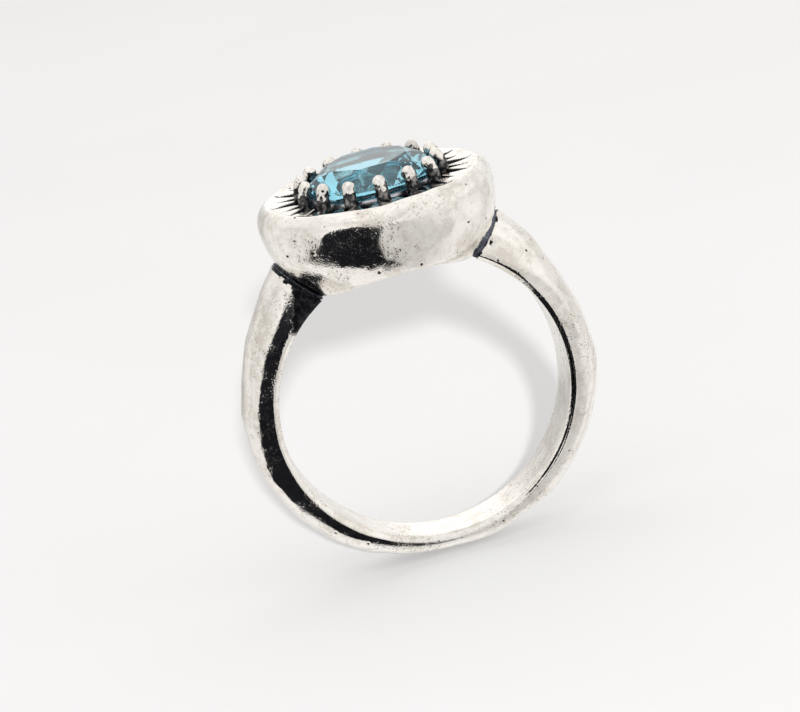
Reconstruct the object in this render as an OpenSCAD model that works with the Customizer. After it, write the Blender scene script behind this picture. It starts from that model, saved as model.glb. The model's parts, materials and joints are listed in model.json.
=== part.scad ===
// Cocktail ring: a hammered silver band, a heavy bowl-shaped head with a
// sunburst of engraved cuts, and a round blue stone held by fourteen wire prongs.
// The origin is the centre of the finger bore. The bore runs along Y and the
// stone faces +Z. Lengths are millimetres.

/* [Finger bore] */
// Inside radius of the band (ring size)
bore_r = 8.65; // [7.5:0.05:10.5]
// Width of the straight inner wall that touches the finger
bore_land = 2.5; // [1.8:0.1:2.8]

/* [Band] */
// Band width at the bottom
band_w_bottom = 3.2; // [3:0.1:4]
// Band width where it meets the head
band_w_shoulder = 5.0; // [4:0.1:6]
// Wall thickness at the bottom
wall_bottom = 1.2; // [1:0.05:1.8]
// Wall thickness at the sides
wall_side = 2.0; // [1.5:0.05:2.4]
// Extra thickness that the shoulders gain at the head
wall_flare = 1.05; // [0.6:0.05:1.6]
// Distance from the inner wall to the widest edges, where the half-round back begins
edge_rise = 0.25; // [0.2:0.05:0.5]
// How far the bevels beside the inner wall run outwards for each millimetre of width
bevel_lean = 0.3; // [0.2:0.05:0.8]

/* [Head] */
// Outside radius of the bowl at its belly
head_r = 7.0; // [6.5:0.1:8]
// Height of the belly above the bore centre
belly_z = 11.8; // [11.6:0.1:12.4]
// Height of the flat top above the bore centre
top_z = 12.9; // [12.8:0.1:13.4]
// Radius of the rounding between the belly and the top
rim_r = 1.0; // [0.8:0.05:1.1]
// Radius of the bowl's curved wall, seen in section
wall_curve_r = 5.5; // [5.2:0.1:6]
// Radius of the pocket that the prongs stand in
pocket_r = 4.56; // [4.54:0.01:4.7]
// Height of the pocket's floor
pocket_z = 11.2; // [11:0.1:11.6]
// Radius of the open back below the stone
open_back_r = 3.35; // [3:0.05:3.5]

/* [Sunburst cuts] */
// Radius that the long cuts between the prongs reach
long_cut_reach = 6.15; // [5.9:0.05:6.3]
// Depth of the long cuts at the pocket
long_cut_depth = 0.75; // [0.5:0.05:0.9]
// Half the width of the long cuts at the pocket
long_cut_half = 0.33; // [0.25:0.01:0.36]
// Radius that the short cuts behind the prongs reach
short_cut_reach = 5.8; // [5.5:0.05:6]
// Depth of the short cuts at the pocket
short_cut_depth = 0.5; // [0.3:0.05:0.6]
// Half the width of the short cuts at the pocket
short_cut_half = 0.2; // [0.12:0.01:0.24]

/* [Stone] */
// Girdle radius of the stone
stone_r = 3.85; // [3.8:0.01:3.86]
// Height of the middle of the girdle
girdle_z = 13.2; // [13.15:0.05:13.25]
// Thickness of the girdle
girdle_h = 0.16; // [0.1:0.02:0.2]
// Crown angle
crown_angle = 35; // [33:0.5:36]
// Pavilion angle
pavilion_angle = 41; // [40:0.5:43]
// Table width as a share of the stone's width
table_share = 0.62; // [0.56:0.01:0.64]
// Distance of the lower girdle facets' tips from the axis, as a share of the radius
lower_facet_share = 0.24; // [0.2:0.02:0.4]
// Turn of the stone's facets about its axis
stone_turn = 25; // [0:1:45]
// Outside radius of the ring that the stone rests on
seat_outer_r = 3.6; // [3.5:0.05:3.8]

/* [Prongs] */
// Radius of the prong wire
wire_r = 0.34; // [0.28:0.01:0.34]
// Distance of the prong wires from the stone's axis
wire_ring_r = 4.2; // [4.2:0.01:4.22]
// Height at which the wires bend over the girdle
bend_z = 13.44; // [13.44:0.02:13.5]
// Distance of the prong tips from the stone's axis
tip_ring_r = 3.82; // [3.82:0.01:3.9]
// Height of the centre of the rounded prong tips
tip_z = 13.79; // [13.79:0.01:13.85]

/* [Seams] */
// Width of the solder seam between the band and the head
seam_gap = 0.25; // [0.15:0.05:0.35]
// How far the solder lies below the surface of the band
seam_recess = 0.16; // [0.1:0.02:0.25]

/* [Hidden] */

prong_count = 14;
prong_step = 360 / prong_count;
first_prong = -90;               // prong_01 stands at the front, on -Y
seam_angle = 35;                 // angle of the seams from +Z
arc_end = 180 - seam_angle;      // the band's half arc, counted from its lowest point
outline_end = arc_end + 6;       // the band's outline runs on into the head
outline_steps = 50;              // flats along the outline
dome_slices = 4;                 // steps from the ridge to each edge of the back
edge_r = bore_r + edge_rise;
flare_power = 2.9;               // how late the shoulders gain their extra thickness
seat_face = 0.1;                 // width of the sloping face that the stone rests on
seat_play = 0.02;                // gap between the seat and the pavilion
cut_run = 0.3;                   // how far the engraved cuts run into the pocket
cut_rise = 2.2;                  // height of the cutting wedge, in depths of cut
overlap = 0.01;                  // overlap of neighbouring shapes in one outline
through = 40;                    // longer than the ring is wide
silver = [0.86, 0.85, 0.82];
dark_silver = [0.3, 0.31, 0.34];
topaz = [0.45, 0.78, 0.87];

// Wall thickness at an angle from the lowest point of the band.
function wall(a) =
    let (round_part = sin(min(abs(a), 90)), past_side = max(abs(a) - 90, 0) / (arc_end - 90))
    wall_bottom + (wall_side - wall_bottom) * round_part + wall_flare * pow(past_side, flare_power);

// Half the width of the band at a height. The band widens evenly towards the head.
function half_width(z) =
    let (
        low = -bore_r - wall_bottom,
        high = (bore_r + wall_side + wall_flare) * cos(seam_angle),
        share = (z - low) / (high - low)
    )
    (band_w_bottom + (band_w_shoulder - band_w_bottom) * share) / 2;

// A point on the back of the band: a is the angle from its lowest point, tilt runs from
// -90 on the front edge over 0 on the ridge to 90 on the back edge.
function band_point(a, tilt, inset) =
    let (r = edge_r + (bore_r + wall(a) - inset - edge_r) * cos(tilt), z = -r * cos(a))
    [r * sin(a), (half_width(z) - inset) * sin(tilt), z];

// The band with a half-round back, filled up to the centre of the bore.
module round_back(inset) {
    n = outline_steps + 2;
    levels = 2 * dome_slices;
    points = [for (k = [0 : levels])
        let (tilt = 90 * (k / dome_slices - 1))
        each concat(
            [for (i = [0 : outline_steps])
                band_point(outline_end * (2 * i / outline_steps - 1), tilt, inset)],
            [[0, (half_width(0) - inset) * sin(tilt), 0]]
        )];
    sides = [for (k = [0 : levels - 1], i = [0 : n - 1])
        let (j = (i + 1) % n, a = k * n, b = a + n)
        each [[a + i, a + j, b + j], [a + i, b + j, b + i]]];
    front = [for (i = [n - 1 : -1 : 0]) i];
    back = [for (i = [0 : n - 1]) levels * n + i];
    polyhedron(points, concat(sides, [front, back]), convexity = 6);
}

// Everything outside the bevels, which run out from the edges of the bore's wall.
module bevels(inset) {
    land = bore_land / 2 - inset;
    wide = band_w_shoulder;
    rise = (wide - land) * bevel_lean;
    rotate([90, 0, 0]) rotate_extrude($fn = 120)
        polygon([
            [0, -land], [bore_r, -land], [bore_r + rise, -wide], [through, -wide],
            [through, wide], [bore_r + rise, wide], [bore_r, land], [0, land]
        ]);
}

// The band before it is bored out and fitted to the head.
module band_blank(inset = 0) {
    intersection() {
        round_back(inset);
        bevels(inset);
    }
}

// The finger bore, optionally wider.
module bore_cut(extra = 0) {
    rotate([90, 0, 0]) cylinder(r = bore_r + extra, h = through, center = true, $fn = 180);
}

// The solid outside of the bowl, optionally grown all round.
module bowl_body(grow = 0) {
    rotate_extrude($fn = 120) {
        intersection() {
            translate([head_r - wall_curve_r, belly_z]) circle(r = wall_curve_r + grow, $fn = 160);
            translate([0, belly_z - wall_curve_r]) square([head_r + 1, wall_curve_r]);
        }
        translate([0, belly_z - overlap])
            square([head_r + grow, top_z - rim_r - belly_z + overlap]);
        translate([head_r - rim_r, top_z - rim_r]) circle(r = rim_r + grow, $fn = 60);
        translate([0, belly_z]) square([head_r - rim_r, top_z - belly_z + grow]);
    }
}

// One V-shaped cut that rises from the pocket to the top of the bowl.
module sunburst_cut(reach, depth, half_w) {
    tilt = atan(depth / (reach - pocket_r));
    high = cut_rise * depth;
    wide = cut_rise * half_w;
    translate([reach, 0, top_z]) rotate([0, -90 - tilt, 0])
        linear_extrude(height = (reach - pocket_r + cut_run) / cos(tilt))
            polygon([[0, 0], [high, wide], [high, -wide]]);
}

module shank() {
    color(silver) difference() {
        band_blank();
        bore_cut();
        bowl_body(seam_gap);
    }
}

module head_bowl() {
    color(silver) difference() {
        bowl_body();
        bore_cut();
        translate([0, 0, pocket_z]) cylinder(r = pocket_r, h = through, $fn = 120);
        cylinder(r = open_back_r, h = through, $fn = 96);
        for (i = [0 : prong_count - 1]) {
            rotate(first_prong + i * prong_step)
                sunburst_cut(short_cut_reach, short_cut_depth, short_cut_half);
            rotate(first_prong + (i + 0.5) * prong_step)
                sunburst_cut(long_cut_reach, long_cut_depth, long_cut_half);
        }
    }
}

// The solder between the band and the bowl, on one side of the ring.
module solder_seam(side) {
    color(dark_silver) intersection() {
        difference() {
            band_blank(seam_recess);
            bore_cut(seam_recess);
            bowl_body();
        }
        bowl_body(seam_gap);
        translate([side > 0 ? 0 : -through, -through / 2, 0]) cube([through, through, through]);
    }
}

// The ring inside the prongs. The stone's pavilion rests on its sloping inner edge.
module seat_ring() {
    slope = tan(pavilion_angle);
    face_z = girdle_z - girdle_h / 2 - (stone_r - open_back_r) * slope - seat_play;
    top = face_z + seat_face * slope;
    color(dark_silver) rotate_extrude($fn = 96)
        polygon([
            [open_back_r, pocket_z], [seat_outer_r, pocket_z], [seat_outer_r, top],
            [open_back_r + seat_face, top], [open_back_r, face_z]
        ]);
}

// A wire prong: an upright stem, a bend and a rounded tip laid over the girdle.
module prong(index) {
    lean = atan((wire_ring_r - tip_ring_r) / (tip_z - bend_z));
    reach = norm([wire_ring_r - tip_ring_r, tip_z - bend_z]);
    color(silver) rotate(first_prong + (index - 1) * prong_step) {
        translate([wire_ring_r, 0, pocket_z]) cylinder(r = wire_r, h = bend_z - pocket_z, $fn = 32);
        translate([wire_ring_r, 0, bend_z]) {
            sphere(r = wire_r, $fn = 32);
            rotate([0, -lean, 0]) cylinder(r = wire_r, h = reach, $fn = 32);
        }
        translate([tip_ring_r, 0, tip_z]) sphere(r = wire_r, $fn = 32);
    }
}

// Eight points of equal height round the stone's axis.
function ring_of_eight(r, z, turn) =
    [for (i = [0 : 7]) let (a = stone_turn + turn + 45 * i) [r * cos(a), r * sin(a), z]];

// A round brilliant: table, stars, kites, upper and lower girdle facets, pavilion mains.
// Kites and mains are flat because their side corners are placed on the facet planes.
module stone() {
    table_r = stone_r * table_share;
    top = girdle_z + girdle_h / 2;
    low = girdle_z - girdle_h / 2;
    table_z = top + (stone_r - table_r) * tan(crown_angle);
    culet_z = low - stone_r * tan(pavilion_angle);
    star_r = (table_r + stone_r) / 2;
    star_z = table_z - (star_r * cos(22.5) - table_r) * tan(crown_angle);
    main_r = stone_r * lower_facet_share;
    main_z = culet_z + main_r * cos(22.5) * tan(pavilion_angle);
    points = concat(
        ring_of_eight(table_r, table_z, 0), ring_of_eight(star_r, star_z, 22.5),
        ring_of_eight(stone_r, top, 0), ring_of_eight(stone_r, top, 22.5),
        ring_of_eight(stone_r, low, 0), ring_of_eight(stone_r, low, 22.5),
        ring_of_eight(main_r, main_z, 22.5), [[0, 0, culet_z]]
    );
    table = [for (i = [7 : -1 : 0]) i];
    facets = [for (i = [0 : 7])
        let (
            j = (i + 1) % 8, h = (i + 7) % 8,
            star = 8 + i, star_before = 8 + h,
            corner = 16 + i, corner_next = 16 + j, middle = 24 + i,
            low_corner = 32 + i, low_next = 32 + j, low_middle = 40 + i,
            main = 48 + i, main_before = 48 + h, culet = 56
        )
        each [
            [i, j, star], [i, star, corner, star_before],
            [star, middle, corner], [star, corner_next, middle],
            [corner, middle, low_middle, low_corner], [middle, corner_next, low_next, low_middle],
            [low_corner, low_middle, main], [low_middle, low_next, main],
            [low_corner, main, culet, main_before]
        ]];
    color(topaz) polyhedron(points, concat([table], facets), convexity = 2);
}

shank();
head_bowl();
solder_seam(-1);  // solder_seam_left
solder_seam(1);  // solder_seam_right
seat_ring();
prong(1);  // prong_01
prong(2);  // prong_02
prong(3);  // prong_03
prong(4);  // prong_04
prong(5);  // prong_05
prong(6);  // prong_06
prong(7);  // prong_07
prong(8);  // prong_08
prong(9);  // prong_09
prong(10);  // prong_10
prong(11);  // prong_11
prong(12);  // prong_12
prong(13);  // prong_13
prong(14);  // prong_14
stone();
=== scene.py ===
import json
import math

import bmesh
import bpy
import numpy as np
from mathutils import Matrix, Vector


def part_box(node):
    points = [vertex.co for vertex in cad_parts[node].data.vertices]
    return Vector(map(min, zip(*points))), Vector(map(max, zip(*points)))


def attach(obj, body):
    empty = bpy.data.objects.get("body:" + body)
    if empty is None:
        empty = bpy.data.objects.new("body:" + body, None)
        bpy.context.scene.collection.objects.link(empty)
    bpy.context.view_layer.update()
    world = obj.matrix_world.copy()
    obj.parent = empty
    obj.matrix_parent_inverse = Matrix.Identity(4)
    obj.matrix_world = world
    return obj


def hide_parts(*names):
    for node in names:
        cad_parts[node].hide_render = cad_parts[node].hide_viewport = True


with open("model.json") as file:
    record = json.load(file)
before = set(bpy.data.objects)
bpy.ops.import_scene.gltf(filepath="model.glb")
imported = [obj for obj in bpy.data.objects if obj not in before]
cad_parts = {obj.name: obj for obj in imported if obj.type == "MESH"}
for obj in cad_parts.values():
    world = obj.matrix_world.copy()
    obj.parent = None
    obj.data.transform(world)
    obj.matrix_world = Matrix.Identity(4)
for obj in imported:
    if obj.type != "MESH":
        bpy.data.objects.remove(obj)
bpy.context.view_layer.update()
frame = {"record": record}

# A hammered silver cocktail ring. Shapes are worked out in millimetres, in the
# frame of the CAD model: the finger bore runs along Y and the stone faces +Z.
MM = 0.001


# ---------------------------------------------------------------- dimensions
def node_box_mm(node):
    """A CAD node's lowest and highest corners, in millimetres."""
    low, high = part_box(node)
    return np.array(low) / MM, np.array(high) / MM


SHANK_LOW, SHANK_HIGH = node_box_mm("shank")
HEAD_HIGH = node_box_mm("head_bowl")[1]
STONE_LOW, STONE_HIGH = node_box_mm("stone")
SEAT_LOW, SEAT_HIGH = node_box_mm("seat_ring")

BORE_R = frame["record"]["mounts"][0]["dims"]["r_mm"]
BORE_LAND = 2.5                      # width of the band's straight inner wall
WALL_BOTTOM = -SHANK_LOW[2] - BORE_R
WALL_SIDE = SHANK_HIGH[0] - BORE_R
WALL_FLARE = 1.05                    # thickness the shoulders gain at the head
FLARE_POWER = 2.9                    # how late they gain it
EDGE_RISE = 0.30                     # from the inner wall out to the widest edges
BAND_W_BOTTOM = 3.2
BAND_W_SHOULDER = 5.0
SEAM_ANGLE = 35.0                    # degrees from +Z
ARC_END = 180.0 - SEAM_ANGLE         # the band's half arc, from its lowest point
SEAM_GAP = 0.25                      # between the band and the bowl
SEAM_RECESS = 0.16                   # from the band's surface down to the solder

HEAD_R = HEAD_HIGH[0]
TOP_Z = HEAD_HIGH[2]
BELLY_Z = 11.8                       # height at which the bowl is widest
RIM_R = 1.2
RIM_TURN = math.radians(62)          # how far the rim's rounding goes round
CREST_RHO = 6.24                     # radius of the crest round the top
CREST_LIP = 0.1                      # drop from the crest to the top inside it
WALL_CURVE_R = 5.5
WALL_CENTRE_RHO = HEAD_R - WALL_CURVE_R
POCKET_R = 4.56
POCKET_Z = SEAT_LOW[2]
OPEN_BACK_R = 3.35
SEAT_FACE = 0.1                      # width of the sloping face under the stone
SEAT_FACE_DROP = 0.087

STONE_R = STONE_HIGH[0]
TABLE_Z = STONE_HIGH[2]
CULET_Z = STONE_LOW[2]
GIRDLE_Z = 13.2
GIRDLE_H = 0.16
TABLE_SHARE = 0.625                  # the table's corners, as a share of the radius
STONE_TURN = 25.0                    # degrees from a table corner on +X

PRONGS = 14
PRONG_STEP = 2 * math.pi / PRONGS
FIRST_PRONG = -math.pi / 2
WIRE_RING_R = 4.2                    # distance of the wires from the stone's axis
TIP_RING_R = 3.82
TIP_Z = 13.79


# ---------------------------------------------------------------- mesh helpers
def make_object(name, points, faces, tarnish=None, smooth=True):
    """An object from points in millimetres, with an optional darkness per point, 0 bright to 1 black: patina,
    and in places a painted reflection.
    """
    mesh = bpy.data.meshes.new(name)
    mesh.from_pydata((np.asarray(points) * MM).tolist(), [], [tuple(f) for f in faces])
    mesh.validate()
    if smooth:
        mesh.shade_smooth()
    else:
        mesh.shade_flat()
    if tarnish is not None:
        layer = mesh.attributes.new("tarnish", "FLOAT", "POINT")
        layer.data.foreach_set("value", np.asarray(tarnish, np.float32))
    obj = bpy.data.objects.new(name, mesh)
    bpy.context.scene.collection.objects.link(obj)
    return obj


def grid_faces(rows, cols, close_rows, close_cols, start=0):
    """Quads over a rows x cols grid of points, wrapped round where a direction is closed."""
    r = np.arange(rows if close_rows else rows - 1)
    c = np.arange(cols if close_cols else cols - 1)
    r, c = np.meshgrid(r, c, indexing="ij")
    r2, c2 = (r + 1) % rows, (c + 1) % cols
    quads = np.stack([r * cols + c, r * cols + c2, r2 * cols + c2, r2 * cols + c], -1)
    return (quads.reshape(-1, 4) + start).tolist()


def grid_normals(grid, close_rows, close_cols, sample):
    """Unit normals of a grid of points. At the sample point they point away from the origin."""
    def difference(axis, closed):
        if closed:
            return np.roll(grid, -1, axis) - np.roll(grid, 1, axis)
        return np.gradient(grid, axis=axis)
    normal = np.cross(difference(0, close_rows), difference(1, close_cols))
    normal = normal / (np.linalg.norm(normal, axis=-1, keepdims=True) + 1e-12)
    return normal if (normal[sample] * grid[sample]).sum() > 0 else -normal


def stretch(start, stop, steps):
    """Evenly spaced columns from start up to stop, without stop itself."""
    return start + (stop - start) * np.arange(steps)[None] / steps


def smoothstep(low, high, x):
    """0 at low, 1 at high, with a soft start and end between them."""
    t = np.clip((x - low) / (high - low), 0, 1)
    return t * t * (3 - 2 * t)


def waves(points, size, amount, seed):
    """A smooth random field: a sum of sine waves in random directions."""
    rng = np.random.default_rng(seed)
    total = np.zeros(points.shape[:-1])
    count = 9
    for _ in range(count):
        direction = rng.normal(size=3)
        direction *= rng.uniform(0.6, 1.6) * 2 * math.pi / (size * np.linalg.norm(direction))
        total += np.sin(points @ direction + rng.uniform(0, 2 * math.pi))
    return amount * total / math.sqrt(count)


def hammer_marks(points, centres, curve_r, depth):
    """How far each point moves under round-faced hammer blows: 0 between them, negative in them."""
    crispness = 55.0                 # of the ridges between neighbouring marks
    flat = points.reshape(-1, 3).astype(np.float32)
    total = np.ones(len(flat), np.float32)
    for centre, radius, deep in zip(centres, curve_r, depth):
        sunk = ((flat - centre) ** 2).sum(1) / (2 * radius) - deep
        total += np.exp(-crispness * np.clip(sunk, -0.5, 0.5))
    return (-np.log(total) / crispness).reshape(points.shape[:-1])


def pits(points, centres, radius, depth):
    """How deep each point lies in small round pits."""
    flat = points.reshape(-1, 3).astype(np.float32)
    total = np.zeros(len(flat), np.float32)
    for centre, size, deep in zip(centres, radius, depth):
        near = ((flat - centre) ** 2).sum(1) / size ** 2
        total += deep * np.exp(-near * near)
    return total.reshape(points.shape[:-1])


def distance_to_path(grid, path):
    """Distance of each point of a grid from a line of straight pieces."""
    path = np.array(path, float)
    nearest = np.full(grid.shape[:-1], np.inf)
    for start, stop in zip(path, path[1:]):
        along = stop - start
        share = np.clip(((grid - start) @ along) / (along @ along), 0, 1)
        nearest = np.minimum(nearest, np.linalg.norm(grid - start - share[..., None] * along, axis=-1))
    return nearest


def spread_points(grid, weight, count, spacing, seed):
    """Random points of a grid, kept apart from each other, where the weight is high."""
    tries = 6000
    rng = np.random.default_rng(seed)
    flat, allowed = grid.reshape(-1, 3), np.flatnonzero(weight.reshape(-1) > 0.5)
    chosen = []
    for index in rng.permutation(allowed)[:tries]:
        point = flat[index]
        if all(((point - other) ** 2).sum() > spacing ** 2 for other in chosen):
            chosen.append(point)
        if len(chosen) == count:
            break
    return np.array(chosen)


def hammered(grid, weight, blows, curve_r, deepest_blow, swells, spots, deepest_pit, seed):
    """How far hammering moves each point out or in, and the depth of the small pits there.

    blows and spots are each a count and a spacing, curve_r is the range of the hammer
    faces' radii, and swells are the size and height of the waves between the marks."""
    raised = 0.06                    # what the metal between the marks stands proud
    centres = spread_points(grid, weight, *blows, seed)
    rng = np.random.default_rng(seed + 1)
    radii = rng.uniform(*curve_r, len(centres))
    moved = hammer_marks(grid, centres, radii, rng.uniform(0.05, deepest_blow, len(centres))) + raised
    for step, (size, amount) in enumerate(swells):
        moved = moved + waves(grid, size, amount, seed + 2 + step)
    centres = spread_points(grid, weight, *spots, seed + 4)
    radii = rng.uniform(0.05, 0.1, len(centres))
    return moved, pits(grid, centres, radii, rng.uniform(0.02, deepest_pit, len(centres)))


def pit_black(holes):
    """How black the small pits are at each point: darkest from a depth of 0.04 mm."""
    return np.clip(holes / 0.04, 0, 1) * 0.9


def add_piece(name, shape, node, material, smooth=True):
    """Makes a piece from its points, faces and darkness per point (patina, in places a painted reflection),
    to stand for a CAD node.
    """
    obj = make_object(name, *shape, smooth=smooth)
    obj.data.materials.append(material)
    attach(obj, "root")
    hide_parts(node)


# ---------------------------------------------------------------- band
# a raised line between two hammered flats, on the shoulder at +X
SHOULDER_CREST = [(5.7, -2.3, 7.8), (6.4, -2.3, 6.9), (7.2, -2.2, 6.1), (8.1, -2.1, 5.3),
                  (8.7, -2.0, 4.4), (9.2, -1.9, 3.4), (9.4, -1.9, 2.4), (9.6, -1.8, 1.3)]
CREST_HEIGHT = 0.12
CREST_HALF_WIDTH = 0.3
# the largest pit, on the same shoulder
DEEP_PIT = (5.75, -2.3, 8.1)
DEEP_PIT_R = 0.17
DEEP_PIT_DEPTH = 0.14

# points along the inner wall, along each edge and along each half of the back
LAND_STEPS, EDGE_STEPS, BACK_STEPS = 10, 14, 24
BAND_STATIONS = 780
# from the inner wall over a slight slope and a bevel to the widest edge: the share of the
# way, and past its first point how far the surface lies in from the widest edge
EDGE_SHARE = [0, 0.4, 0.5, 0.58, 0.92, 1]
EDGE_INSET = [0, 0.2, 0.17, 0.14, 0.01, 0]
# shares at which the painted reflection along the bevel, a dark line, fades in and out
BEVEL_PAINTED_REFLECTION = [0.56, 0.68, 0.78, 0.9]
# height of each seam's fine ridge as a share of the recess, on -X and on +X
SEAM_RIDGE = {-1: 0.9, 1: 0.1}


def wall(angle):
    """The band's thickness at an angle from its lowest point, in degrees."""
    round_part = np.sin(np.radians(np.minimum(np.abs(angle), 90)))
    past_side = np.maximum(np.abs(angle) - 90, 0) / (ARC_END - 90)
    return WALL_BOTTOM + (WALL_SIDE - WALL_BOTTOM) * round_part + WALL_FLARE * past_side ** FLARE_POWER


def band_half_width(z):
    """Half the band's width at a height. The band widens evenly towards the head."""
    low = -BORE_R - WALL_BOTTOM
    high = (BORE_R + WALL_SIDE + WALL_FLARE) * math.cos(math.radians(SEAM_ANGLE))
    return (BAND_W_BOTTOM + (BAND_W_SHOULDER - BAND_W_BOTTOM) * (z - low) / (high - low)) / 2


def band_section(angle):
    """The band's closed section at each angle from its lowest point, as [radius, y] pairs.

    From the inner wall a slight slope runs to a bevel at the widest edge, where the
    half-round back begins."""
    angle = np.atleast_1d(np.asarray(angle, float))[:, None]
    ridge, edge = BORE_R + wall(angle), BORE_R + EDGE_RISE
    height = -np.cos(np.radians(angle))
    half, land = band_half_width(edge * height), BORE_LAND / 2
    t = np.arange(EDGE_STEPS)[None] / EDGE_STEPS
    edge_r = np.interp(t, EDGE_SHARE, [BORE_R, BORE_R + 0.03, BORE_R + 0.06, BORE_R + 0.1, edge - 0.02, edge])
    inset = np.interp(t, EDGE_SHARE, EDGE_INSET)
    reach = np.interp(t, EDGE_SHARE[:2], [0, 1])
    edge_y = land + (half - land) * reach - inset
    t = np.arange(BACK_STEPS)[None] / BACK_STEPS * math.pi / 2
    back_r = edge + (ridge - edge) * np.sin(t)
    back_y = band_half_width(back_r * height) * np.cos(t)
    half_r = np.concatenate([edge_r + 0 * angle, back_r], 1)
    half_y = np.concatenate([edge_y, back_y], 1)
    t = np.arange(1, LAND_STEPS)[None] / LAND_STEPS
    inner_r = BORE_R + 0 * t + 0 * angle
    inner_y = land * (1 - 2 * t) + 0 * angle
    r = np.concatenate([half_r, ridge, half_r[:, :0:-1], BORE_R + 0 * angle, inner_r], 1)
    y = np.concatenate([-half_y, 0 * ridge, half_y[:, :0:-1], land + 0 * angle, inner_y], 1)
    return np.stack([r, y], -1)


def ring_point(angle, r, y):
    """A point at an angle from the lowest point of the band, in degrees."""
    a = np.radians(angle)
    return np.stack([r * np.sin(a), y + 0 * a, -r * np.cos(a)], -1)


def outside_bowl(point, grow):
    """Distance from the bowl's curved wall, grown by an amount; negative inside."""
    rho = np.hypot(point[..., 0], point[..., 1])
    return np.hypot(rho - WALL_CENTRE_RHO, point[..., 2] - BELLY_Z) - WALL_CURVE_R - grow


def angle_at_bowl(r, y, grow):
    """The angle at which a line of constant radius and y meets the bowl."""
    low, high = np.full(np.shape(r), 110.0), np.full(np.shape(r), 158.0)  # it lies between these
    for _ in range(40):
        middle = (low + high) / 2
        out = outside_bowl(ring_point(middle, r, y), grow) > 0
        low, high = np.where(out, middle, low), np.where(out, high, middle)
    return low


def section_at_bowl(grow):
    """The band's section where it meets the bowl, and the angle of each of its points."""
    angle = np.full(band_section(0).shape[1], ARC_END)
    every = np.arange(len(angle))
    for _ in range(6):
        section = band_section(angle)[every, every]
        angle = angle_at_bowl(section[:, 0], section[:, 1], grow)
    return section, angle


def close_end(shape, edge, loop, middle, shrinks, side, grow, turned):
    """Closes an end that lies on the grown bowl with ever smaller copies of its outline.

    shape is the lists of points, faces and marks that it adds to, edge the numbers of the
    points round the open end, and loop the same points in section."""
    points, faces, marks = shape
    for shrink in shrinks:
        inner = middle + (loop - middle) * shrink
        turn = angle_at_bowl(inner[:, 0], inner[:, 1], grow)
        new = sum(len(part) for part in points) + np.arange(len(loop))
        points.append(ring_point(side * turn, inner[:, 0], inner[:, 1]))
        marks.append(np.ones(len(loop)))
        first, second = (new, edge) if turned else (edge, new)
        faces += np.stack([first, second, np.roll(second, -1), np.roll(first, -1)], 1).tolist()
        edge = new
    faces.append(edge.tolist() if turned else edge[::-1].tolist())


def band_tarnish_and_painted_reflection(grid, section, angles, end_angle):
    """How black each point of the band is: patina beside the seams, widened at -X by a painted reflection,
    and a painted reflection along its front bevel.
    """
    height = section[..., 0] - BORE_R
    seam_distance = (end_angle - np.abs(angles)) * math.pi / 180 * section[..., 0]
    # at -X a painted reflection carries it down the front flank, and furthest along its inner edge
    front = smoothstep(0.0, -1.8, section[..., 1]) * smoothstep(2.4, 1.0, height)
    low_edge_painted_reflection = smoothstep(1.5, 0.3, height) * smoothstep(-0.7, -1.5, section[..., 1])
    reach = (0.7 * front + 2.1 * low_edge_painted_reflection) * smoothstep(0.03, 0.1, height)
    width = np.where(angles < 0, 0.08 + reach, 0.01)
    by_seam_and_painted_reflection = smoothstep(1.1, 0.6, (seam_distance + waves(grid, 0.8, 0.12, 26)) / width) * 0.9
    # the bevel of the edge nearest the camera keeps a painted reflection at +X: a dark line
    steps = np.array(BEVEL_PAINTED_REFLECTION) * EDGE_STEPS
    bevel = np.interp(np.arange(section.shape[1]), steps, [0, 1, 1, 0])
    along = smoothstep(16, 48, angles) * smoothstep(112, 96, angles)
    return np.maximum(by_seam_and_painted_reflection, bevel * along * (0.86 + waves(grid, 1.5, 0.14, 27)))


def make_shank():
    """The band, hammered all over its back, with a raised crest and a deep pit at +X."""
    end_section, end_angle = section_at_bowl(SEAM_GAP)
    cols = len(end_angle)
    share = np.linspace(-1, 1, BAND_STATIONS)[:, None]
    angles = share * end_angle
    section = np.empty((BAND_STATIONS, cols, 2))
    for column in range(cols):
        section[:, column] = band_section(angles[:, column])[:, column]
    grid = ring_point(angles, section[..., 0], section[..., 1])
    normal = grid_normals(grid, False, True, (BAND_STATIONS // 2, cols // 2))

    skin = smoothstep(0.2, 0.6, section[..., 0] - BORE_R)
    near_end = smoothstep(1.0, 0.95, np.abs(share))
    # the flanks stay evener than the back, which took most of the hammering
    turn_out = 1 - np.abs(section[..., 1]) / band_half_width(grid[..., 2])
    worked = 0.22 + 0.78 * smoothstep(0.12, 0.5, turn_out)
    moved, holes = hammered(grid, skin, blows=(120, 1.75), curve_r=(7, 16), deepest_blow=0.17,
                            swells=[(5.0, 0.03), (1.1, 0.006)], spots=(40, 1.2), deepest_pit=0.05, seed=21)
    deep_pit = pits(grid, [DEEP_PIT], [DEEP_PIT_R], [DEEP_PIT_DEPTH])
    crest = CREST_HEIGHT * np.exp(-(distance_to_path(grid, SHOULDER_CREST) / CREST_HALF_WIDTH) ** 2)
    crest = crest * smoothstep(7.4, 5.2, grid[..., 2])
    moved = moved * worked * (0.2 + 0.8 * near_end) + crest - holes - deep_pit
    grid = grid + normal * (moved * skin)[..., None]

    tarnish = band_tarnish_and_painted_reflection(grid, section, angles, end_angle)
    tarnish = np.maximum(tarnish, pit_black(holes))
    tarnish = np.maximum(tarnish, deep_pit / DEEP_PIT_DEPTH * 0.8)

    faces = grid_faces(BAND_STATIONS, cols, False, True)
    shape = [grid.reshape(-1, 3)], faces, [tarnish.reshape(-1)]
    for side, row in ((-1, 0), (1, BAND_STATIONS - 1)):
        edge = row * cols + np.arange(cols)
        middle = end_section.mean(0)
        close_end(shape, edge, end_section, middle, (0.7, 0.4, 0.12), side, SEAM_GAP, turned=side > 0)
    return np.concatenate(shape[0]), faces, np.concatenate(shape[2])


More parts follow.
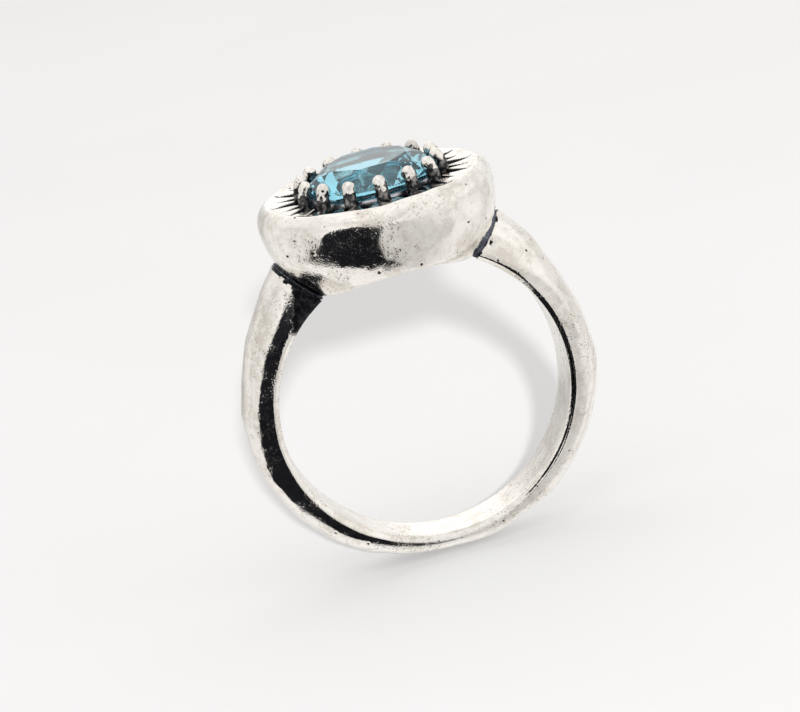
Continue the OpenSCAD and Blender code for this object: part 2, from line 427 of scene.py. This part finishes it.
def make_seam(side):
    """The blackened solder line on one side: a thin saddle with a fine ridge along its middle."""
    section, _ = section_at_bowl(SEAM_GAP / 2)
    middle = section.mean(0)
    outward = section - middle
    size = np.linalg.norm(outward, axis=1, keepdims=True)
    play = 0.01                      # to the bowl and to the band

    def sunk_loop(recess):
        loop = middle + outward * (1 - recess / size)
        loop[:, 0] = np.maximum(loop[:, 0], BORE_R + 0.03)
        return loop

    points, marks = [], []
    layers, cols = 9, len(section)
    for across in np.linspace(0, 1, layers):
        ridge = math.exp(-((across - 0.5) / 0.11) ** 2) * SEAM_RIDGE[side]
        loop = sunk_loop(SEAM_RECESS * (1 - ridge))
        turn = angle_at_bowl(loop[:, 0], loop[:, 1], play + across * (SEAM_GAP - 2 * play))
        points.append(ring_point(side * turn, loop[:, 0], loop[:, 1]))
        marks.append(np.full(cols, 1.0 - 0.6 * ridge))
    faces = grid_faces(layers, cols, False, True)
    shape = points, faces, marks
    for layer, grow in ((0, play), (layers - 1, SEAM_GAP - play)):
        edge = layer * cols + np.arange(cols)
        close_end(shape, edge, sunk_loop(SEAM_RECESS), middle, (0.66, 0.33, 0.1), side, grow, turned=False)
    return np.concatenate(points), faces, np.concatenate(marks)


# ---------------------------------------------------------------- head
# the long cuts between the prongs and the short ones behind them: how far from the stone's
# axis they reach, and their depth and half width at the pocket
LONG_CUT = (6.2, 0.8, 0.5)
SHORT_CUT = (5.8, 0.5, 0.33)
BOWL_TURNS = 2 * PRONGS * 20         # points round the bowl, 20 to each cut


def sunburst_depth(rho, theta):
    """Depth of the engraved cuts at each point of the top."""
    rng = np.random.default_rng(31)
    deepest = np.zeros_like(rho)
    for index in range(2 * PRONGS):
        full_reach, full_depth, full_half = SHORT_CUT if index % 2 == 0 else LONG_CUT
        centre = FIRST_PRONG + index * PRONG_STEP / 2 + rng.uniform(-0.012, 0.012)
        reach = full_reach + rng.uniform(-0.2, 0.06)
        depth = full_depth * rng.uniform(0.85, 1.1)
        half = full_half * rng.uniform(1.0, 1.2)
        along = np.clip((reach - rho) / (reach - POCKET_R), 0, 1.15)
        offset = (theta - centre + math.pi) % (2 * math.pi) - math.pi
        across = np.abs(rho * np.sin(offset)) / (half * along + 1e-6)
        cut = depth * along * np.clip(1 - across ** 1.15, 0, 1)
        deepest = np.maximum(deepest, np.where(np.abs(offset) < 0.5, cut, 0))
    return deepest


def wall_rho(z):
    """The radius of the bowl's curved wall at a height."""
    return WALL_CENTRE_RHO + np.sqrt(WALL_CURVE_R ** 2 - (BELLY_Z - z) ** 2)


def bore_z(rho, theta):
    """The height of the finger bore's surface at a radius, in a direction."""
    return np.sqrt(BORE_R ** 2 - (rho * np.cos(theta)) ** 2)


def wall_foot(theta):
    """The height at which the bowl's curved wall meets the finger bore, in each direction."""
    low, high = np.full(theta.shape, 6.0), np.full(theta.shape, BORE_R + 0.001)
    for _ in range(40):
        z = (low + high) / 2
        above = z > bore_z(wall_rho(z), theta)
        low, high = np.where(above, low, z), np.where(above, z, high)
    return high


def bowl_outline(theta):
    """The bowl's closed outline in each direction: radius, height, the depth of the sunburst
    cuts over the top, and which columns each part of the outline fills."""
    still = 0 * theta
    foot_z = wall_foot(theta)
    foot_turn = np.arcsin((BELLY_Z - foot_z) / WALL_CURVE_R)
    under_rho = stretch(OPEN_BACK_R, wall_rho(foot_z), 12)
    wall_turn = stretch(foot_turn, 0 * foot_turn, 46)
    curve_rho = WALL_CENTRE_RHO + WALL_CURVE_R * np.cos(wall_turn)
    # the rim leans in to a narrow crest, and the top is slightly dished inside it
    rim_turn = stretch(still, still + RIM_TURN, 18)
    lean_rho = HEAD_R - RIM_R + RIM_R * math.cos(RIM_TURN)
    lean_z = BELLY_Z + RIM_R * math.sin(RIM_TURN)
    t = np.arange(7)[None] / 7 + still
    top_rho = np.concatenate([stretch(CREST_RHO + still, POCKET_R + still, 48), POCKET_R + still], 1)
    cut = sunburst_depth(top_rho, theta + 0 * top_rho)
    top_z = TOP_Z - CREST_LIP * smoothstep(CREST_RHO, CREST_RHO - 0.45, top_rho) - cut
    last_z = top_z[:, -1:]
    pocket_z = stretch(last_z, POCKET_Z + 0 * last_z, 10)[:, 1:]
    floor_rho = stretch(POCKET_R + still, OPEN_BACK_R + still, 6)
    hole_z = stretch(POCKET_Z + still, bore_z(OPEN_BACK_R, theta), 8)
    parts = [
        ("under", under_rho, bore_z(under_rho, theta)),
        ("wall", curve_rho, BELLY_Z - WALL_CURVE_R * np.sin(wall_turn)),
        ("rim", HEAD_R - RIM_R + RIM_R * np.cos(rim_turn), BELLY_Z + RIM_R * np.sin(rim_turn) + still),
        ("lean", lean_rho + (CREST_RHO - lean_rho) * t, TOP_Z - (TOP_Z - lean_z) * (1 - t) ** 1.8),
        ("top", top_rho, top_z),
        ("pocket", POCKET_R + 0 * pocket_z, pocket_z),
        ("floor", floor_rho, POCKET_Z + 0 * floor_rho),
        ("hole", OPEN_BACK_R + 0 * hole_z, hole_z),
    ]
    rho = np.concatenate([part[1] for part in parts], 1)
    z = np.concatenate([part[2] for part in parts], 1)
    columns, start = {}, 0
    for name, part_rho, _ in parts:
        columns[name] = slice(start, start + part_rho.shape[1])
        start = columns[name].stop
    return rho, z, cut, columns


def make_head():
    """The bowl, hammered outside, with the sunburst of cuts round its blackened pocket."""
    theta = (FIRST_PRONG + np.arange(BOWL_TURNS) * 2 * math.pi / BOWL_TURNS)[:, None]
    rho, z, cut, columns = bowl_outline(theta)
    foot, crest = columns["wall"].start, columns["top"].start

    # the hammering fades in above the foot and out over the top
    fade_in, fade_out = 7, 26
    outer = np.zeros(rho.shape[1])
    outer[foot:crest] = 1
    outer[foot:foot + fade_in] = np.linspace(0, 1, fade_in)
    outer[crest:crest + fade_out] = np.linspace(1, 0, fade_out)

    # a soft edge where the wall meets the bore
    for _ in range(5):
        for line in (rho, z):
            line[:, foot - 3:foot + 4] = (
                line[:, foot - 4:foot + 3] + 2 * line[:, foot - 3:foot + 4] + line[:, foot - 2:foot + 5]) / 4

    grid = np.stack([rho * np.cos(theta), rho * np.sin(theta), z], -1)
    normal = grid_normals(grid, True, True, (0, foot + 20))
    weight = np.broadcast_to(outer[None], rho.shape)
    moved, holes = hammered(grid, weight, blows=(90, 2.3), curve_r=(9, 20), deepest_blow=0.16,
                            swells=[(6.0, 0.035), (1.2, 0.006)], spots=(55, 0.9), deepest_pit=0.07, seed=33)
    grid = grid + normal * ((moved - holes) * weight)[..., None]

    blackness = np.zeros_like(rho)
    blackness[:, columns["top"]] = smoothstep(0.0, 0.03, cut)
    blackness[:, columns["pocket"]] = 1.0
    # nearly black: the pocket's floor next to its wall, and the open back next to the bore
    pocket_floor = columns["floor"].start
    blackness[:, pocket_floor:pocket_floor + 4] = 0.9
    blackness[:, -4:] = 0.9
    # at -X the seam's patina widens low down into a painted reflection, and at +X it stays a fine line
    width = np.where(grid[..., 0] < 0, 0.12 + 0.7 * smoothstep(9.0, 7.9, grid[..., 2]), 0.03)
    by_seam_and_painted_reflection = smoothstep(1.1, 0.6, (seam_reach(grid) + waves(grid, 0.8, 0.06, 38)) / width)
    blackness = np.maximum(blackness, by_seam_and_painted_reflection * weight * 0.9)
    blackness = np.maximum(blackness, pit_black(holes))
    faces = grid_faces(*rho.shape, True, True)
    return grid.reshape(-1, 3), faces, blackness.reshape(-1)


def seam_reach(grid):
    """Distance of points on the bowl from the outline of the band where it is joined on."""
    section, angle = section_at_bowl(0.0)
    loop = ring_point(angle, section[:, 0], section[:, 1])
    loop = loop[section[:, 0] > BORE_R + 0.02]
    flat = grid.reshape(-1, 3) * [0, 1, 1] + np.abs(grid.reshape(-1, 3)) * [1, 0, 0]
    nearest = np.full(len(flat), np.inf)
    for point in loop:
        nearest = np.minimum(nearest, ((flat - point) ** 2).sum(1))
    return np.sqrt(nearest).reshape(grid.shape[:-1])


# ---------------------------------------------------------------- setting and stone
# a prong's middle line and thickness from its foot to its tip: distance from the stone's
# axis, height and radius
PRONG_KEYS = [(WIRE_RING_R + 0.02, POCKET_Z, 0.54), (WIRE_RING_R + 0.02, 11.9, 0.5),
              (WIRE_RING_R + 0.01, 12.5, 0.43), (WIRE_RING_R, 13.0, 0.385),
              (4.14, 13.42, 0.375), (4.0, 13.68, 0.38),
              (TIP_RING_R, TIP_Z + 0.02, 0.385), (3.66, TIP_Z + 0.1, 0.38)]
STEM_MIDDLE_Z = 12.5


def make_prong(index):
    """A wire prong with a spread foot, an upright stem and a rounded tip over the girdle."""
    rng = np.random.default_rng(400 + index)
    stations, around = 46, 28
    lean = rng.uniform(-0.05, 0.05)
    bulb = rng.uniform(0.97, 1.06)
    t_key = np.linspace(0, 1, len(PRONG_KEYS))
    t = np.linspace(0, 1, stations)

    def smooth(values):
        line = np.interp(t, t_key, values)
        for _ in range(12):
            line[1:-1] = (line[:-2] + 2 * line[1:-1] + line[2:]) / 4
        return line

    rho, z, size = (smooth(values) for values in zip(*PRONG_KEYS))
    path = np.stack([rho, lean * (z - STEM_MIDDLE_Z), z], -1)
    tangent = np.gradient(path, axis=0)
    tangent /= np.linalg.norm(tangent, axis=1, keepdims=True)
    side = np.cross(tangent, [0, 1, 0])
    side /= np.linalg.norm(side, axis=1, keepdims=True)
    other = np.cross(tangent, side)
    travel = np.concatenate([[0], np.cumsum(np.linalg.norm(np.diff(path, axis=0), axis=1))])
    left = travel[-1] - travel
    # the tip is rounded off, with a slight swelling behind it
    cap = np.sqrt(1 - np.clip(1 - left / (0.3 * bulb), 0, 1) ** 2)
    swell = 1 + 0.07 * bulb * np.exp(-((left - 0.33) / 0.16) ** 2)
    size = size * cap * swell
    turn = np.arange(around) * 2 * math.pi / around
    ring = np.cos(turn)[None, :, None] * side[:, None] + np.sin(turn)[None, :, None] * other[:, None]
    grid = path[:, None] + ring * size[:, None, None]
    rough = waves(grid + index, 0.35, 0.012, 41) + waves(grid + index, 0.13, 0.005, 42)
    grid = grid + ring * (rough * cap[:, None])[..., None]
    # bright at the tip and darker towards the pocket
    outward = ring[..., 0]
    bright = smoothstep(13.4, 13.85, grid[..., 2] + 0.2 * outward + waves(grid + index, 0.5, 0.25, 43))

    angle = FIRST_PRONG + index * PRONG_STEP
    rotate = np.array([[math.cos(angle), -math.sin(angle), 0],
                       [math.sin(angle), math.cos(angle), 0],
                       [0, 0, 1]])
    tip, foot = grid[-1].mean(0), path[0]
    points = np.concatenate([grid[:-1].reshape(-1, 3), [tip, foot]]) @ rotate.T
    rows = stations - 1
    faces = grid_faces(rows, around, False, True)
    last, tip_index = (rows - 1) * around, rows * around
    for i in range(around):
        j = (i + 1) % around
        faces.append((last + i, last + j, tip_index))
        faces.append((j, i, tip_index + 1))
    marks = np.concatenate([(1 - bright[:-1]).reshape(-1), [0, 1]])
    return points, faces, marks


def make_seat():
    """The bearing ring inside the prongs, with a sloping seat and worn edges."""
    inner, outer = OPEN_BACK_R, SEAT_HIGH[0]
    low, high = SEAT_LOW[2], SEAT_HIGH[2]
    corners = [(inner, low + 0.05), (inner + 0.05, low), (outer - 0.05, low), (outer, low + 0.05),
               (outer, high - 0.06), (outer - 0.06, high),
               (inner + SEAT_FACE, high), (inner, high - SEAT_FACE_DROP)]
    steps = 4                        # points along each side
    profile = []
    for (r0, z0), (r1, z1) in zip(corners, corners[1:] + corners[:1]):
        for step in range(steps):
            profile.append((r0 + (r1 - r0) * step / steps, z0 + (z1 - z0) * step / steps))
    profile = np.array(profile)
    turns = 224
    theta = (np.arange(turns) * 2 * math.pi / turns)[:, None]
    rho, z = profile[:, 0], profile[:, 1]
    grid = np.stack([rho * np.cos(theta), rho * np.sin(theta), z + 0 * theta], -1)
    radial = grid * [1, 1, 0] / np.linalg.norm(grid[..., :2], axis=-1)[..., None]
    worn = -np.abs(waves(grid, 0.6, 0.01, 51))
    grid = grid + radial * (worn * np.sign(rho - rho.mean()))[..., None] * 0.5
    black = smoothstep(high - 0.2, high - 0.55, grid[..., 2] + waves(grid, 0.7, 0.1, 52))
    return grid.reshape(-1, 3), grid_faces(turns, len(profile), True, True), black.reshape(-1)


def make_stone():
    """A round brilliant, cut facet by facet from a turned blank."""
    mesh = bmesh.new()
    bmesh.ops.create_cone(mesh, cap_ends=True, segments=128, radius1=STONE_R, radius2=STONE_R,
                          depth=TABLE_Z - CULET_Z)
    bmesh.ops.translate(mesh, verts=mesh.verts, vec=(0, 0, (TABLE_Z + CULET_Z) / 2))
    top, low = GIRDLE_Z + GIRDLE_H / 2, GIRDLE_Z - GIRDLE_H / 2
    table_r = TABLE_SHARE * STONE_R
    crown = math.atan((TABLE_Z - top) / (STONE_R - table_r))
    pavilion = math.atan((low - CULET_Z) / STONE_R)
    star_r = table_r * math.cos(math.pi / 8) + 0.005
    # each cut: direction, a point of its plane as radius and height, slope, and 1 up or -1 down
    cuts = []
    for i in range(8):
        corner = math.radians(STONE_TURN + 45 * i)
        flat = corner + math.pi / 8
        cuts.append((corner, STONE_R, top, crown, 1))
        cuts.append((flat, star_r, TABLE_Z, crown - math.radians(12.5), 1))
        cuts.append((corner, STONE_R, low, pavilion, -1))
        for half in (-math.pi / 16, math.pi / 16):
            cuts.append((corner + half, STONE_R, top - 0.01, crown + math.radians(6.2), 1))
            cuts.append((corner + half, STONE_R, low + 0.01, pavilion + math.radians(1.3), -1))
    for turn, r, z, slope, up in cuts:
        place = Vector((r * math.cos(turn), r * math.sin(turn), z))
        run = math.sin(slope)
        normal = Vector((math.cos(turn) * run, math.sin(turn) * run, up * math.cos(slope)))
        everything = mesh.verts[:] + mesh.edges[:] + mesh.faces[:]
        result = bmesh.ops.bisect_plane(mesh, geom=everything, plane_co=place, plane_no=normal,
                                        clear_outer=True, dist=1e-5)
        rim = [e for e in result["geom_cut"] if isinstance(e, bmesh.types.BMEdge) and e.is_boundary]
        if rim:
            bmesh.ops.holes_fill(mesh, edges=rim, sides=0)
    bmesh.ops.recalc_face_normals(mesh, faces=mesh.faces[:])
    points = np.array([v.co for v in mesh.verts])
    faces = [tuple(v.index for v in f.verts) for f in mesh.faces]
    mesh.free()
    return points, faces


# ---------------------------------------------------------------- materials
class Nodes:
    """A short way to write the nodes of a material or of the world."""

    def __init__(self, owner, output, coordinates):
        owner.use_nodes = True
        self.tree = owner.node_tree
        self.tree.nodes.clear()
        self.out = self.add(output)
        self.place = self.add("ShaderNodeTexCoord").outputs[coordinates]

    def add(self, kind, **settings):
        node = self.tree.nodes.new(kind)
        for key, value in settings.items():
            setattr(node, key, value)
        return node

    def link(self, source, target):
        self.tree.links.new(source, target)

    def noise(self, scale, detail=3.0, roughness=0.55):
        node = self.add("ShaderNodeTexNoise")
        node.inputs["Scale"].default_value = scale
        node.inputs["Detail"].default_value = detail
        node.inputs["Roughness"].default_value = roughness
        self.link(self.place, node.inputs["Vector"])
        return node.outputs["Fac"]

    def cells(self, scale):
        node = self.add("ShaderNodeTexVoronoi")
        node.inputs["Scale"].default_value = scale
        self.link(self.place, node.inputs["Vector"])
        return node.outputs["Distance"]

    def remap(self, value, low, high, to_low=0.0, to_high=1.0):
        node = self.add("ShaderNodeMapRange", interpolation_type="SMOOTHSTEP")
        self.link(value, node.inputs["Value"])
        for name, number in (("From Min", low), ("From Max", high), ("To Min", to_low), ("To Max", to_high)):
            node.inputs[name].default_value = number
        return node.outputs["Result"]

    def math(self, operation, *values):
        node = self.add("ShaderNodeMath", operation=operation)
        for socket, value in zip(node.inputs, values):
            if isinstance(value, (int, float)):
                socket.default_value = value
            else:
                self.link(value, socket)
        return node.outputs["Value"]

    def mix(self, factor, a, b):
        node = self.add("ShaderNodeMix", data_type="RGBA")
        self.link(factor, node.inputs["Factor"])
        for socket, value in ((node.inputs["A"], a), (node.inputs["B"], b)):
            if isinstance(value, tuple):
                socket.default_value = (*value, 1.0)
            else:
                self.link(value, socket)
        return node.outputs["Result"]

    def attribute(self, name):
        return self.add("ShaderNodeAttribute", attribute_name=name).outputs["Fac"]

    def bump(self, height, distance, strength, normal=None):
        node = self.add("ShaderNodeBump")
        node.inputs["Distance"].default_value = distance
        node.inputs["Strength"].default_value = strength
        self.link(height, node.inputs["Height"])
        if normal is not None:
            self.link(normal, node.inputs["Normal"])
        return node.outputs["Normal"]

    def shader(self, **sockets):
        node = self.add("ShaderNodeBsdfPrincipled")
        for name, value in sockets.items():
            socket = node.inputs[name.replace("_", " ")]
            if isinstance(value, tuple):
                socket.default_value = (*value, 1.0)
            elif isinstance(value, (int, float)):
                socket.default_value = value
            else:
                self.link(value, socket)
        self.link(node.outputs["BSDF"], self.out.inputs["Surface"])


def material_nodes(name):
    """A new material, and its nodes."""
    material = bpy.data.materials.new(name)
    return material, Nodes(material, "ShaderNodeOutputMaterial", "Object")


def silver_material(name, bright, shadow, black, dust, gloss=0.07, speckle=0.8):
    """Polished silver with fine pits in patches, blackened where the per-point darkness is high: patina, and
    in places a painted reflection.
    """
    material, n = material_nodes(name)
    tarnish = n.attribute("tarnish")
    patches = n.remap(n.noise(330, 3.0), 0.46, 0.58)
    large = n.math("MULTIPLY", n.remap(n.cells(2700), 0.26, 0.1), n.remap(n.noise(1300, 1.0), 0.54, 0.62))
    small = n.math("MULTIPLY", n.remap(n.cells(6200), 0.5, 0.2), n.remap(n.noise(2600, 2.0), 0.42, 0.56))
    specks = n.math("MAXIMUM", n.math("MULTIPLY", large, 0.8), n.math("MULTIPLY", small, 0.55))
    specks = n.math("MULTIPLY", specks, n.math("ADD", n.math("MULTIPLY", patches, 0.8), 0.2))
    grain = n.noise(5200, 2.0, 0.6)
    edge = n.math("ADD", tarnish, n.math("MULTIPLY", n.math("SUBTRACT", grain, 0.5), 0.7))
    blackened = n.remap(edge, 0.3, 0.62)
    tone = n.math("ADD", n.noise(520, 3.0), n.math("MULTIPLY", n.noise(2400, 3.0, 0.7), 0.9))
    silver = n.mix(n.remap(tone, 0.85, 1.2), bright, shadow)
    pitted = n.mix(n.math("MULTIPLY", specks, speckle), silver, (0.2, 0.17, 0.145))
    dusty = n.mix(n.remap(n.noise(3600, 3.0), 0.42, 0.72), black, dust)
    colour = n.mix(blackened, pitted, dusty)
    rough = n.math("ADD", n.math("MULTIPLY", patches, 0.1), gloss)
    rough = n.math("ADD", rough, n.math("MULTIPLY", blackened, 0.28))
    pit_bump = n.bump(n.math("SUBTRACT", 1.0, specks), 0.00004, 0.35)
    wavy = n.bump(n.noise(1500, 4.0, 0.65), 0.00004, 0.36, pit_bump)
    metal = n.math("SUBTRACT", 1.0, n.math("MULTIPLY", specks, 0.08))
    n.shader(Base_Color=colour, Metallic=metal, Roughness=rough, Normal=wavy)
    return material


def stone_material():
    """Clear sky-blue topaz with faint colour zoning."""
    material, n = material_nodes("blue_topaz")
    zone = n.remap(n.noise(300, 1.0), 0.3, 0.7)
    colour = n.mix(zone, (0.28, 0.76, 0.97), (0.42, 0.86, 1.0))
    n.shader(Base_Color=colour, Metallic=0.0, Roughness=0.0, IOR=1.62, Transmission_Weight=0.97)
    return material


def plain_material(name, colour, roughness):
    """A stage surface with a faint mottle."""
    material, n = material_nodes(name)
    shade = tuple(c * 0.985 for c in colour)
    n.shader(Base_Color=n.mix(n.remap(n.noise(30, 2.0), 0.3, 0.7), colour, shade),
             Roughness=roughness, Specular_IOR_Level=0.2)
    return material


# ---------------------------------------------------------------- camera, floor and light
CAMERA_AZIMUTH, CAMERA_ELEVATION, CAMERA_ROLL = -6.62, 16.5, -13.42   # degrees
CAMERA_DISTANCE = 200.0
CAMERA_TARGET = (-0.71, 0.1, 2.235)
SENSOR_WIDTH, LENS = 36.0, 153.09

# the key stands just right of and above the camera, so a soft shadow shows beside the ring
KEY_AZIMUTH, KEY_ELEVATION = -3.5, 19.4
KEY_DISTANCE, KEY_SIZE = 1500, 60
KEY_POWER = 23.5
KEY_COLOUR = (1, 0.985, 0.965)

FLOOR_HALF = 2000
FLOOR_DROP = 0.05                    # from the lowest point of the band down to the floor

# the outline of the dark card, as azimuth and elevation from the ring in degrees
CARD_OUTLINE = [(-38, 20), (-12, 20), (-3, -8), (3, -38), (14, -62), (-22, -67), (-52, -63),
                (-64, -53), (-99, -45), (-101, -36), (-94, -25), (-77, -14), (-62, 0)]
CARD_MIDDLE = (-40, -22)
CARD_DISTANCE = 400

# the world's light: its base, how much the mottle adds, and its colour
WORLD_BASE, WORLD_MOTTLE = 0.63, 0.5
WORLD_COLOUR = (1.0, 0.98, 0.955, 1)
# azimuth, elevation and spread in degrees, and how much light each zone adds
SOFT_ZONES = [(28, -45, 42, -0.25), (173, 40, 48, 0.12), (174, 16, 18, 0.24), (-158, 3, 22, -0.2),
              (-95, 12, 34, -0.12), (120, -12, 22, -0.14), (-165, -24, 30, -0.12), (75, 35, 40, 0.08),
              (0, 85, 42, 0.13), (8, 31, 26, -0.12)]


def direction(azimuth, elevation):
    """The unit vector at an azimuth from -Y towards +X and an elevation, in degrees."""
    a, e = math.radians(azimuth), math.radians(elevation)
    return Vector((math.sin(a) * math.cos(e), -math.cos(a) * math.cos(e), math.sin(e)))


def make_camera():
    """The camera, rolled so that the ring leans in the picture."""
    back = direction(CAMERA_AZIMUTH, CAMERA_ELEVATION)
    right = direction(CAMERA_AZIMUTH + 90, 0)
    up = back.cross(right)
    roll = math.radians(CAMERA_ROLL)
    rolled_right = right * math.cos(roll) + up * math.sin(roll)
    rolled_up = up * math.cos(roll) - right * math.sin(roll)
    data = bpy.data.cameras.new("camera")
    data.sensor_width = SENSOR_WIDTH
    data.lens = LENS
    data.clip_start, data.clip_end = 0.005, 20.0
    camera = bpy.data.objects.new("camera", data)
    bpy.context.scene.collection.objects.link(camera)
    turn = Matrix((rolled_right, rolled_up, back)).transposed().to_4x4()
    place = Vector(CAMERA_TARGET) * MM + back * CAMERA_DISTANCE * MM
    camera.matrix_world = Matrix.Translation(place) @ turn
    bpy.context.scene.camera = camera


def make_floor():
    """A wide pale floor just under the band. The silver doesn't mirror it."""
    z = SHANK_LOW[2] - FLOOR_DROP
    corners = [(x * FLOOR_HALF, y * FLOOR_HALF, z) for x, y in ((-1, -1), (1, -1), (1, 1), (-1, 1))]
    floor = make_object("floor", corners, [(0, 1, 2, 3)], smooth=False)
    floor.data.materials.append(plain_material("pale_floor", (0.73, 0.735, 0.75), 0.7))
    floor.visible_glossy = False


def make_card():
    """A flat dark studio card that faces the ring and only shows in reflections."""
    facing = direction(*CARD_MIDDLE)
    points = []
    for corner in CARD_OUTLINE:
        ray = direction(*corner)
        points.append(tuple(ray * CARD_DISTANCE / ray.dot(facing)))
    card = make_object("black_flag", points, [tuple(range(len(points)))], smooth=False)
    card.data.materials.append(plain_material("black_card", (0.008, 0.009, 0.013), 1.0))
    card.visible_camera = False
    card.visible_diffuse = False
    card.visible_shadow = False


def make_key():
    """A round lamp aimed at the ring. The silver doesn't mirror it."""
    data = bpy.data.lights.new("key", "AREA")
    data.shape = "DISK"
    data.size = KEY_SIZE * MM
    data.energy = KEY_POWER
    data.color = KEY_COLOUR
    light = bpy.data.objects.new("key", data)
    bpy.context.scene.collection.objects.link(light)
    light.location = direction(KEY_AZIMUTH, KEY_ELEVATION) * KEY_DISTANCE * MM
    light.rotation_euler = (-light.location).to_track_quat("-Z", "Y").to_euler()
    light.visible_glossy = False


def make_world():
    """A bright studio all round, with soft lighter and darker zones for the silver to mirror."""
    world = bpy.data.worlds.new("studio")
    bpy.context.scene.world = world
    n = Nodes(world, "ShaderNodeOutputWorld", "Generated")
    strength = n.math("MULTIPLY_ADD", n.noise(2.2, 2.0, 0.5), WORLD_MOTTLE, WORLD_BASE)
    for azimuth, elevation, spread, amount in SOFT_ZONES:
        dot = n.add("ShaderNodeVectorMath", operation="DOT_PRODUCT")
        n.link(n.place, dot.inputs[0])
        dot.inputs[1].default_value = direction(azimuth, elevation)
        rim, core = math.cos(math.radians(spread)), math.cos(math.radians(spread * 0.25))
        strength = n.math("ADD", strength, n.remap(dot.outputs["Value"], rim, core, 0.0, amount))
    sky = n.add("ShaderNodeBackground")
    sky.inputs["Color"].default_value = WORLD_COLOUR
    n.link(strength, sky.inputs["Strength"])
    n.link(sky.outputs["Background"], n.out.inputs["Surface"])


# ---------------------------------------------------------------- build
bpy.context.scene.view_settings.view_transform = "Standard"
make_world()
make_camera()

silver = silver_material(
    "hammered_silver", bright=(0.98, 0.955, 0.915), shadow=(0.79, 0.75, 0.69),
    black=(0.012, 0.012, 0.014), dust=(0.05, 0.052, 0.06))
prong_silver = silver_material(
    "prong_silver", bright=(0.95, 0.92, 0.87), shadow=(0.72, 0.69, 0.65),
    black=(0.03, 0.031, 0.036), dust=(0.42, 0.4, 0.39), gloss=0.12, speckle=0.7)
black_silver = silver_material(
    "oxidised_silver", bright=(0.72, 0.72, 0.76), shadow=(0.5, 0.5, 0.55),
    black=(0.04, 0.044, 0.058), dust=(0.13, 0.14, 0.18), gloss=0.24)
grey_silver = silver_material(
    "oxidised_silver_worn", bright=(0.6, 0.62, 0.68), shadow=(0.4, 0.42, 0.48),
    black=(0.17, 0.185, 0.235), dust=(0.28, 0.3, 0.37), gloss=0.3)
topaz = stone_material()

add_piece("band", make_shank(), "shank", silver)
add_piece("bowl", make_head(), "head_bowl", silver)
for name, side, metal in (("left", -1, black_silver), ("right", 1, grey_silver)):
    add_piece("seam_" + name, make_seam(side), "solder_seam_" + name, metal)
add_piece("bearing", make_seat(), "seat_ring", black_silver)
for index in range(PRONGS):
    name = f"{index + 1:02d}"
    add_piece("wire_prong_" + name, make_prong(index), "prong_" + name, prong_silver)
add_piece("faceted_stone", make_stone(), "stone", topaz, smooth=False)

make_floor()
make_card()
make_key()
